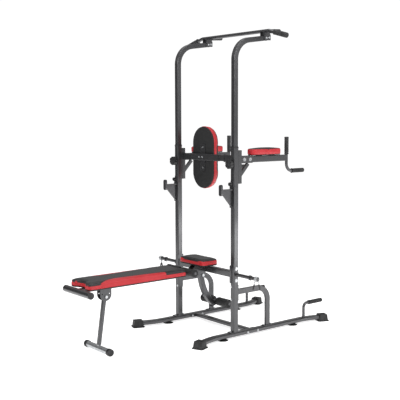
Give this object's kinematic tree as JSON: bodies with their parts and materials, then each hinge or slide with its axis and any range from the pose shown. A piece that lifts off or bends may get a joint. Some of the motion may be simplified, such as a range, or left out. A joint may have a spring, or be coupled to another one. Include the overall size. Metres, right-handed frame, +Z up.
{
  "type": "power tower",
  "caption": "Dark steel power tower with pull-up bar, dip arms and back rest, barbell hooks, folding flat bench with red and black pads, leg developer and plate pins.",
  "frame": {"origin": "on the floor, at the middle of the machine's footprint box", "axes": "+Z up, +X across the machine from the left upright to the right one, +Y from the bench towards the dip handles"},
  "size_m": [1.1322, 1.994, 2.1739],
  "materials": {
    "frame_paint": "dark grey metallic gloss paint",
    "zinc": "bright zinc plate",
    "black_plastic": "moulded, fine texture",
    "grip_rubber": "ribbed rubber sleeve",
    "foot_rubber": "matt rubber",
    "foam": "closed-cell foam sleeve",
    "red_vinyl": "red and black upholstery vinyl",
    "board": "black painted board",
    "spring_steel": "plated spring wire with sleeved arms"
  },
  "bodies": {
    "frame": {"arm_pad_boards": "board", "back_bar": "frame_paint", "back_bar_stub": "frame_paint", "back_board": "board", "back_bracket": "frame_paint", "back_pad": "red_vinyl", "back_screws": "zinc", "base_crossbar": "frame_paint", "bench_pivot_pins": "zinc", "dip_arm_bolts": "zinc", "dip_arms": "frame_paint", "dip_handles": "frame_paint", "frame_bolts": "zinc", "handle_grips": "grip_rubber", "knob_bosses": "frame_paint", "left_arm_pad": "red_vinyl", "left_base_rail": "frame_paint", "left_dip_bracket": "frame_paint", "left_lower_upright": "frame_paint", "left_rear_arch": "frame_paint", "push_up_handles": "frame_paint", "rail_end_boots": "foot_rubber", "right_arm_pad": "red_vinyl", "right_base_rail": "frame_paint", "right_dip_bracket": "frame_paint", "right_lower_upright": "frame_paint", "right_rear_arch": "frame_paint", "seat_board": "board", "seat_bracket": "frame_paint", "seat_crossbar": "frame_paint", "seat_pad": "red_vinyl", "suction_cups": "foot_rubber", "upright_collars": "black_plastic", "weight_bars": "frame_paint"},
    "upper_frame": {"left_upper_tube": "frame_paint", "right_upper_tube": "frame_paint", "pull_up_bar": "frame_paint", "bar_clamps": "frame_paint", "bar_clamp_bolts": "zinc", "pull_up_grips": "grip_rubber"},
    "left_height_knob": {"left_height_knob": "black_plastic"},
    "right_height_knob": {"right_height_knob": "black_plastic"},
    "left_hook": {"left_bar_hook": "frame_paint"},
    "right_hook": {"right_bar_hook": "frame_paint"},
    "left_hook_knob": {"left_hook_knob": "black_plastic"},
    "right_hook_knob": {"right_hook_knob": "black_plastic"},
    "bench": {"bench_frame": "frame_paint", "bench_board": "board", "bench_pad": "red_vinyl", "bench_caps": "black_plastic", "leg_pivot_bolt": "zinc"},
    "bench_leg": {"bench_leg": "frame_paint", "leg_foot_caps": "foot_rubber"},
    "left_knee_roller": {"left_knee_roller": "foam"},
    "right_knee_roller": {"right_knee_roller": "foam"},
    "leg_developer": {"developer_arm": "frame_paint"},
    "left_ankle_roller": {"left_ankle_roller": "foam"},
    "right_ankle_roller": {"right_ankle_roller": "foam"},
    "left_clip": {"left_spring_clip": "spring_steel"},
    "right_clip": {"right_spring_clip": "spring_steel"}
  },
  "joints": [
    {"name": "upper_frame_slide", "type": "slide", "parent": "frame", "child": "upper_frame", "axis": [0, 0, 1], "range_m": [-0.25, 0.1]},
    {"name": "left_height_knob_turn", "type": "hinge", "parent": "frame", "child": "left_height_knob", "pos_m": [-0.32, 0.057, 1.228], "axis": [0, 1, 0], "continuous": true},
    {"name": "left_hook_slide", "type": "slide", "parent": "frame", "child": "left_hook", "axis": [0, 0, 1], "range_m": [-0.25, 0.08]},
    {"name": "left_hook_knob_turn", "type": "hinge", "parent": "left_hook", "child": "left_hook_knob", "pos_m": [-0.32, 0.057, 1.09], "axis": [0, 1, 0], "continuous": true},
    {"name": "left_knee_roller_spin", "type": "hinge", "parent": "bench", "child": "left_knee_roller", "pos_m": [-0.09, -0.128, 0.462], "axis": [1, 0, 0], "continuous": true},
    {"name": "left_ankle_roller_spin", "type": "hinge", "parent": "leg_developer", "child": "left_ankle_roller", "pos_m": [-0.09, 0.193, 0.198], "axis": [1, 0, 0], "continuous": true},
    {"name": "left_clip_slide", "type": "slide", "parent": "frame", "child": "left_clip", "axis": [-1, 0, 0], "range_m": [-0.04, 0.035]},
    {"name": "right_height_knob_turn", "type": "hinge", "parent": "frame", "child": "right_height_knob", "pos_m": [0.32, 0.057, 1.228], "axis": [0, 1, 0], "continuous": true},
    {"name": "right_hook_slide", "type": "slide", "parent": "frame", "child": "right_hook", "axis": [0, 0, 1], "range_m": [-0.25, 0.08]},
    {"name": "right_hook_knob_turn", "type": "hinge", "parent": "right_hook", "child": "right_hook_knob", "pos_m": [0.32, 0.057, 1.09], "axis": [0, 1, 0], "continuous": true},
    {"name": "right_knee_roller_spin", "type": "hinge", "parent": "bench", "child": "right_knee_roller", "pos_m": [0.09, -0.128, 0.462], "axis": [1, 0, 0], "continuous": true},
    {"name": "right_ankle_roller_spin", "type": "hinge", "parent": "leg_developer", "child": "right_ankle_roller", "pos_m": [0.09, 0.193, 0.198], "axis": [1, 0, 0], "continuous": true},
    {"name": "right_clip_slide", "type": "slide", "parent": "frame", "child": "right_clip", "axis": [1, 0, 0], "range_m": [-0.04, 0.035]},
    {"name": "bench_fold", "type": "hinge", "parent": "frame", "child": "bench", "pos_m": [0, -0.039, 0.438], "axis": [-1, 0, 0], "range_deg": [0, 45]},
    {"name": "bench_leg_fold", "type": "hinge", "parent": "bench", "child": "bench_leg", "pos_m": [0, -0.776, 0.366], "axis": [1, 0, 0], "range_deg": [0, 78]},
    {"name": "leg_developer_swing", "type": "hinge", "parent": "frame", "child": "leg_developer", "pos_m": [0, 0.047, 0.411], "axis": [1, 0, 0], "range_deg": [0, 70]}
  ]
}
